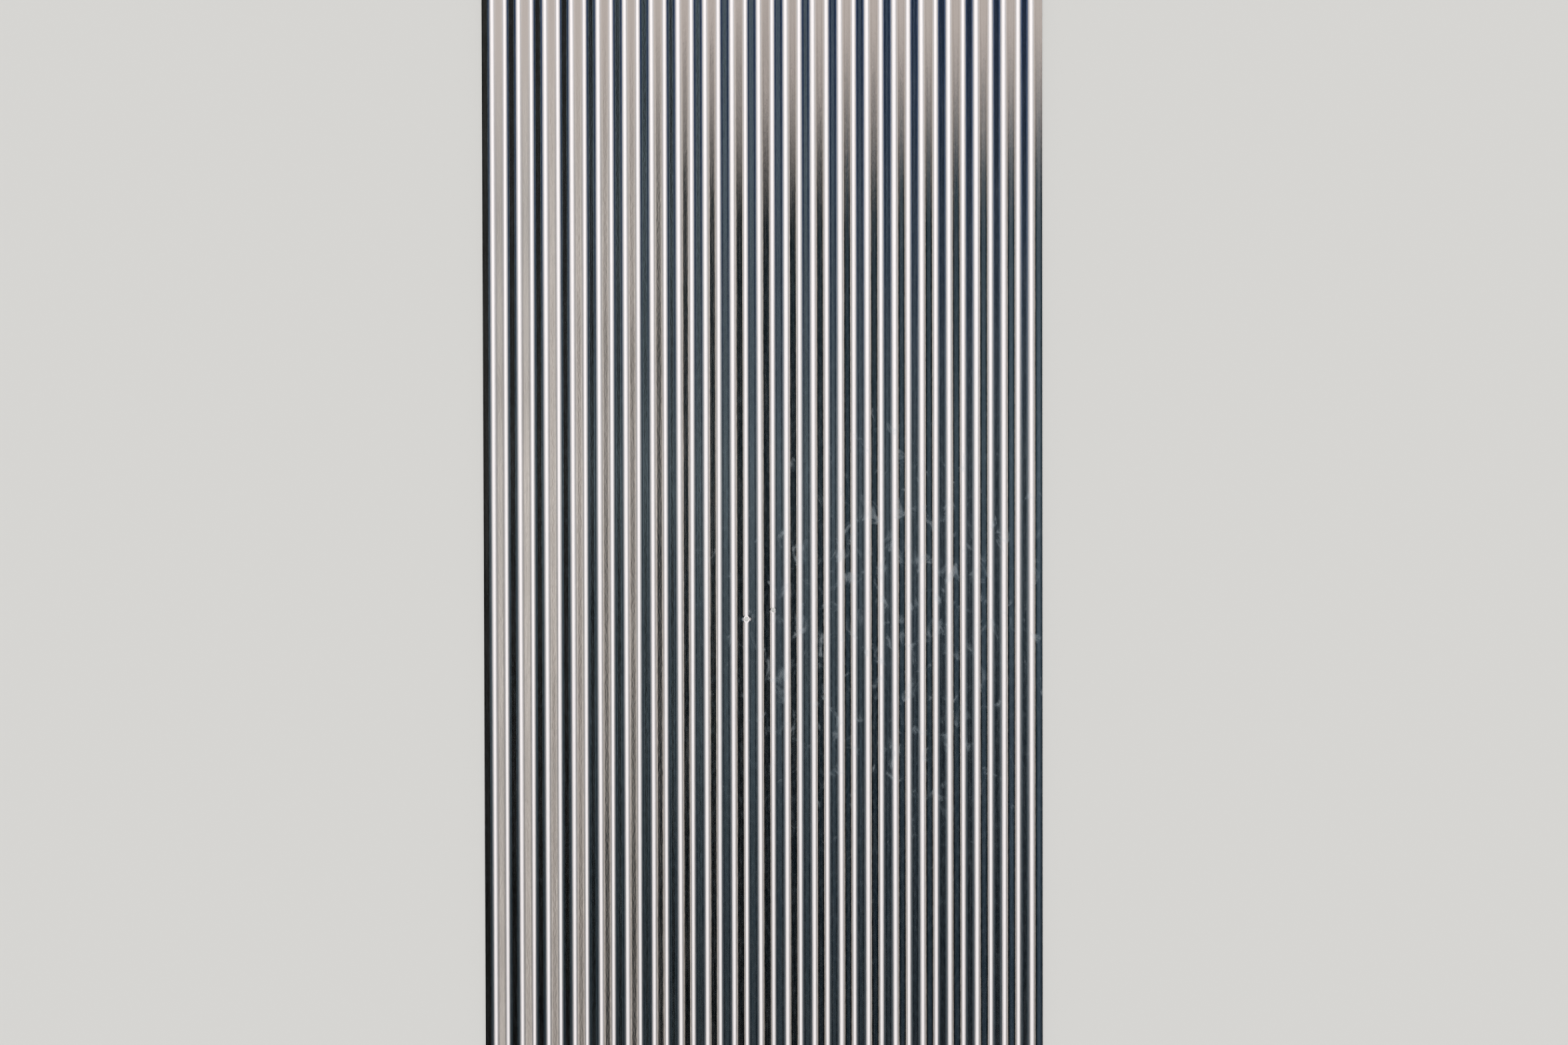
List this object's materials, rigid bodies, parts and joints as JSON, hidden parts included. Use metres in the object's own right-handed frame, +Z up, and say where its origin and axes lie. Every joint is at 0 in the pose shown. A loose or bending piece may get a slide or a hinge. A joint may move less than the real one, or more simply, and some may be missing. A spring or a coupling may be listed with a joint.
{
  "type": "corrugated metal sheet",
  "caption": "Long flat-laid sheet of bright steel with small rounded corrugations along its length and screw holes pressed into its valleys, for cladding walls and ceilings.",
  "frame": {"origin": "middle of the sheet on the level floor that its valleys rest on, under a crest", "axes": "+Y along the corrugations and the length, +X across the corrugations towards the long edge that laps over the next sheet, +Z up, out of the side that faces the room"},
  "size_m": [0.6604, 2.4384, 0.0063],
  "materials": {
    "bright_steel": "mill bright, almost mirror smooth, with light hand smudges"
  },
  "bodies": {
    "root": {"corrugated_sheet": "bright_steel"}
  },
  "joints": []
}
